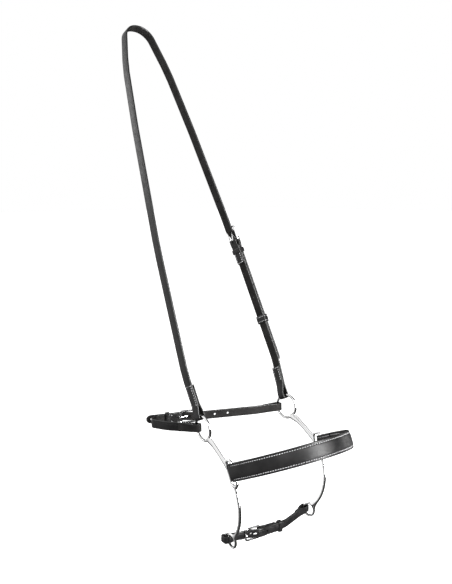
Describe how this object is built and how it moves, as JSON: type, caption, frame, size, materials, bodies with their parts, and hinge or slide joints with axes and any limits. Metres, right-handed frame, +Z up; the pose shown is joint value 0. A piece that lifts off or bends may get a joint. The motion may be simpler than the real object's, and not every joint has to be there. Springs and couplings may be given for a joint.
{
  "type": "bitless hackamore",
  "caption": "Short-shank bitless hackamore bridle: black leather headstall, padded noseband, curb and joining straps on curved steel shanks.",
  "frame": {"origin": "underside of the crown, where the headstall rests on the poll", "axes": "+X towards the nose, +Y towards the horse's left (near) side, +Z up"},
  "size_m": [0.4522, 0.2052, 0.7534],
  "materials": {
    "black_leather": "satin",
    "lining_leather": "matt",
    "padding": "matt",
    "polished_steel": "polished",
    "thread": "matt"
  },
  "bodies": {
    "headstall": {"crown_strap": "black_leather", "near_cheek_strap": "black_leather", "cheek_buckle_frame": "polished_steel", "cheek_fixed_keeper": "black_leather"},
    "cheek_tongue": {"cheek_buckle_tongue": "polished_steel"},
    "sliding_keeper": {"cheek_sliding_keeper": "black_leather"},
    "off_shank": {"off_shank": "polished_steel"},
    "near_shank": {"near_shank": "polished_steel"},
    "noseband": {"noseband_face": "black_leather", "noseband_padding": "padding", "noseband_lining": "lining_leather"},
    "curb": {"curb_strap": "black_leather", "curb_billet": "black_leather", "curb_buckle_frame": "polished_steel", "curb_keeper": "black_leather"},
    "curb_tongue": {"curb_buckle_tongue": "polished_steel"},
    "joining": {"joining_strap": "black_leather", "joining_billet": "black_leather", "joining_buckle_frame": "polished_steel", "joining_keeper": "black_leather"},
    "joining_tongue": {"joining_buckle_tongue": "polished_steel"}
  },
  "joints": [
    {"name": "off_shank_swing", "type": "hinge", "parent": "headstall", "child": "off_shank", "pos_m": [0.27, 0, -0.58973], "axis": [0, 1, 0], "range_deg": [-12, 6]},
    {"name": "near_shank_swing", "type": "hinge", "parent": "headstall", "child": "near_shank", "pos_m": [0.27, 0, -0.58973], "axis": [0, 1, 0], "range_deg": [-12, 6]},
    {"name": "noseband_rock", "type": "hinge", "parent": "off_shank", "child": "noseband", "pos_m": [0.33988, 0, -0.63156], "axis": [0, 1, 0], "range_deg": [-1.5, 1.5]},
    {"name": "curb_strap_swing", "type": "hinge", "parent": "headstall", "child": "curb", "pos_m": [0.27, 0, -0.58973], "axis": [0, 1, 0], "range_deg": [-12, 8]},
    {"name": "joining_strap_swing", "type": "hinge", "parent": "off_shank", "child": "joining", "pos_m": [0.32438, 0, -0.73658], "axis": [0, 1, 0], "range_deg": [-20, 20]},
    {"name": "cheek_keeper_slide", "type": "slide", "parent": "headstall", "child": "sliding_keeper", "axis": [-0.4155, -0.0594, 0.9076], "range_m": [-0.025, 0.025]},
    {"name": "cheek_tongue_hinge", "type": "hinge", "parent": "headstall", "child": "cheek_tongue", "pos_m": [0.15636, 0.077, -0.34151], "axis": [-0.9092, 0, -0.4163], "range_deg": [0, 8]},
    {"name": "curb_tongue_hinge", "type": "hinge", "parent": "curb", "child": "curb_tongue", "pos_m": [0.18863, -0.0605, -0.59678], "axis": [-0.0558, 0, 0.9984], "range_deg": [0, 8]},
    {"name": "joining_tongue_hinge", "type": "hinge", "parent": "joining", "child": "joining_tongue", "pos_m": [0.3276, -0.029, -0.73688], "axis": [0, 0.0035, 1], "range_deg": [0, 8]}
  ],
  "couplings": [
    {"joint": "near_shank_swing", "follows": "off_shank_swing", "ratio": 1}
  ]
}
